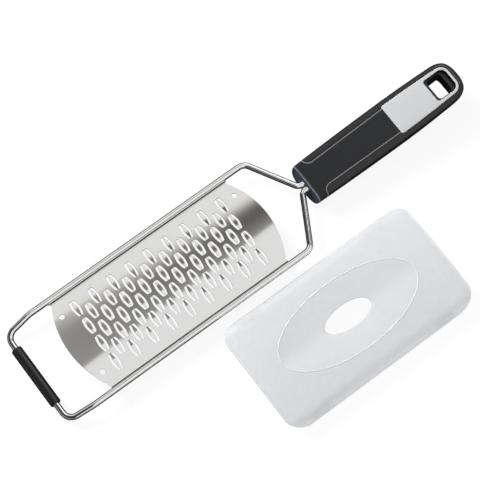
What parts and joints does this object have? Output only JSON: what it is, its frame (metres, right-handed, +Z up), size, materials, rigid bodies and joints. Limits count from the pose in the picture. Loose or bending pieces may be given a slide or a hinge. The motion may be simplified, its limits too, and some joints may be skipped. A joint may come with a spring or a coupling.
{
  "type": "hand grater",
  "caption": "Flat hand grater: arched steel blade with raised two-way teeth in a bent wire frame, rubber foot, moulded handle with a hanging hole, and a loose clip-on blade guard.",
  "frame": {"origin": "middle of the footprint of the grater and its guard together, on the table", "axes": "+X from the foot of the grater to the handle, +Y across the blade away from the guard, +Z up"},
  "size_m": [0.3294, 0.1588, 0.0202],
  "materials": {
    "wire": "polished stainless wire",
    "blade": "satin stainless sheet",
    "sleeve": "matt black",
    "core": "satin blue-grey",
    "shell": "matt charcoal",
    "grip": "semi-gloss black",
    "inlay": "satin silver-grey",
    "guard": "translucent milky white"
  },
  "bodies": {
    "grater": {"frame_wire": "wire", "grating_blade": "blade", "front_sleeve": "sleeve", "handle_core": "core", "handle_shell": "shell", "handle_grip": "grip", "handle_inlay": "inlay"},
    "guard": {"blade_guard": "guard"}
  },
  "joints": [
    {"name": "guard_lift", "type": "slide", "parent": "grater", "child": "guard", "axis": [0, 0, 1], "range_m": [0, 0.08]}
  ]
}
